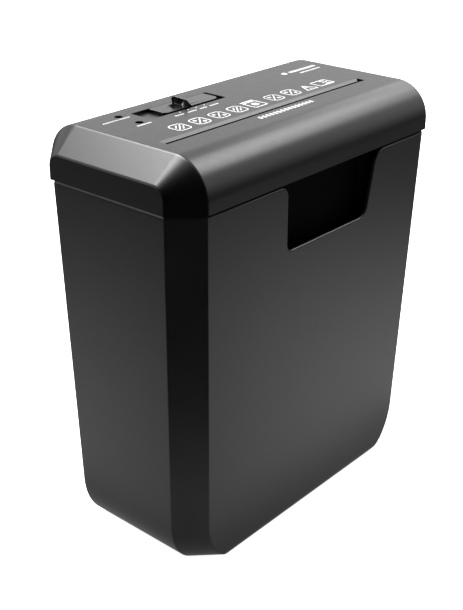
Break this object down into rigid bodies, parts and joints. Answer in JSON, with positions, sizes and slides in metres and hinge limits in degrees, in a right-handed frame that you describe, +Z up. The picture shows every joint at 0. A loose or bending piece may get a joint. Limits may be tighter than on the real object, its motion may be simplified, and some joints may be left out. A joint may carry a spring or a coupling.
{
  "type": "paper shredder",
  "caption": "Desk-side cross-cut paper shredder: a black cutting head with a paper slot and slide selector, lifting off a tapered waste bin with a grip notch.",
  "frame": {"origin": "centre of the base, on the surface it stands on", "axes": "+X along the paper slot, -Y towards the front with the grip notch, +Z up"},
  "size_m": [0.3, 0.15, 0.3348],
  "materials": {
    "black_moulding": "satin, fine moulded grain",
    "inner_black_plastic": "matt",
    "gloss_black_plastic": "polished",
    "zinc_plate": "zinc-plated sheet steel",
    "bright_steel": "turned and zinc plated",
    "black_screws": "black oxide",
    "ivory_nylon": "satin",
    "sintered_bronze": "oil-filled",
    "cutter_steel": "hardened and oiled",
    "sintered_steel": "sintered",
    "gear_nylon": "greased",
    "motor_steel": "drawn can",
    "ferrite": "ground",
    "armature_steel": "laminated, varnished",
    "pinion_brass": "machined",
    "switch_plastic": "matt",
    "lens_plastic": "tinted",
    "board_laminate": "bare laminate",
    "capacitor_resin": "potted",
    "relay_plastic": "moulded",
    "cutout_metal": "drawn",
    "gland_rubber": "matt",
    "print_ink": "pad-printed"
  },
  "bodies": {
    "bin": {"waste_bin": "black_moulding"},
    "head": {"top_cover": "black_moulding", "lower_housing": "inner_black_plastic", "throat_guide": "inner_black_plastic", "left_frame_plate": "zinc_plate", "right_frame_plate": "zinc_plate", "tie_rods": "bright_steel", "tie_rod_screws": "bright_steel", "front_stripper_comb": "ivory_nylon", "rear_stripper_comb": "ivory_nylon", "cutter_bushes": "sintered_bronze", "motor_can": "motor_steel", "motor_magnets": "ferrite", "motor_end_cap": "inner_black_plastic", "motor_screws": "bright_steel", "gear_axles": "bright_steel", "gear_plate": "zinc_plate", "gear_plate_posts": "bright_steel", "gear_plate_screws": "bright_steel", "frame_screws": "bright_steel", "selector_switch": "switch_plastic", "indicator_lenses": "lens_plastic", "control_board": "board_laminate", "mains_capacitor": "capacitor_resin", "motor_relay": "relay_plastic", "board_screws": "bright_steel", "flag_bracket": "switch_plastic", "flag_pin": "bright_steel", "flag_sensor": "switch_plastic", "interlock_switch": "switch_plastic", "thermal_cutout": "cutout_metal", "cord_gland": "gland_rubber", "cover_screws": "black_screws"},
    "selector": {"selector_slider": "gloss_black_plastic"},
    "front_cutter": {"front_cutter_shaft": "cutter_steel", "front_cutter_discs": "cutter_steel", "front_cutter_gear": "sintered_steel"},
    "rear_cutter": {"rear_cutter_shaft": "cutter_steel", "rear_cutter_discs": "cutter_steel", "rear_cutter_gear": "sintered_steel", "rear_drive_gear": "gear_nylon"},
    "rotor": {"motor_armature": "armature_steel", "motor_pinion": "pinion_brass"},
    "first_gear": {"first_compound_gear": "gear_nylon"},
    "second_gear": {"second_compound_gear": "gear_nylon"},
    "flag": {"paper_flag": "ivory_nylon"},
    "plunger": {"interlock_plunger": "ivory_nylon"}
  },
  "joints": [
    {"name": "head_lift", "type": "slide", "parent": "bin", "child": "head", "axis": [0, 0, 1], "range_m": [0, 0.15]},
    {"name": "selector_slide", "type": "slide", "parent": "head", "child": "selector", "axis": [1, 0, 0], "range_m": [-0.017, 0.003]},
    {"name": "rear_cutter_spin", "type": "hinge", "parent": "head", "child": "rear_cutter", "pos_m": [0, -0.01365, 0.268], "axis": [1, 0, 0], "continuous": true},
    {"name": "front_cutter_spin", "type": "hinge", "parent": "head", "child": "front_cutter", "pos_m": [0, -0.04115, 0.268], "axis": [1, 0, 0], "continuous": true},
    {"name": "second_gear_spin", "type": "hinge", "parent": "head", "child": "second_gear", "pos_m": [0, 0.01935, 0.268], "axis": [1, 0, 0], "continuous": true},
    {"name": "first_gear_spin", "type": "hinge", "parent": "head", "child": "first_gear", "pos_m": [0, 0.04094, 0.28883], "axis": [1, 0, 0], "continuous": true},
    {"name": "motor_spin", "type": "hinge", "parent": "head", "child": "rotor", "pos_m": [0, 0.038, 0.264], "axis": [1, 0, 0], "continuous": true},
    {"name": "flag_swing", "type": "hinge", "parent": "head", "child": "flag", "pos_m": [0, -0.0155, 0.308], "axis": [1, 0, 0], "range_deg": [0, 40], "stiffness_Nm_per_rad": 0.002, "springref_deg": -11.46},
    {"name": "plunger_slide", "type": "slide", "parent": "head", "child": "plunger", "axis": [0, 0, 1], "range_m": [-0.003, 0]}
  ],
  "couplings": [
    {"joint": "front_cutter_spin", "follows": "rear_cutter_spin", "ratio": -1},
    {"joint": "second_gear_spin", "follows": "rear_cutter_spin", "ratio": -2.6667},
    {"joint": "first_gear_spin", "follows": "rear_cutter_spin", "ratio": 10.667},
    {"joint": "motor_spin", "follows": "rear_cutter_spin", "ratio": -42.667},
    {"joint": "plunger_slide", "follows": "head_lift", "ratio": -0.02}
  ]
}
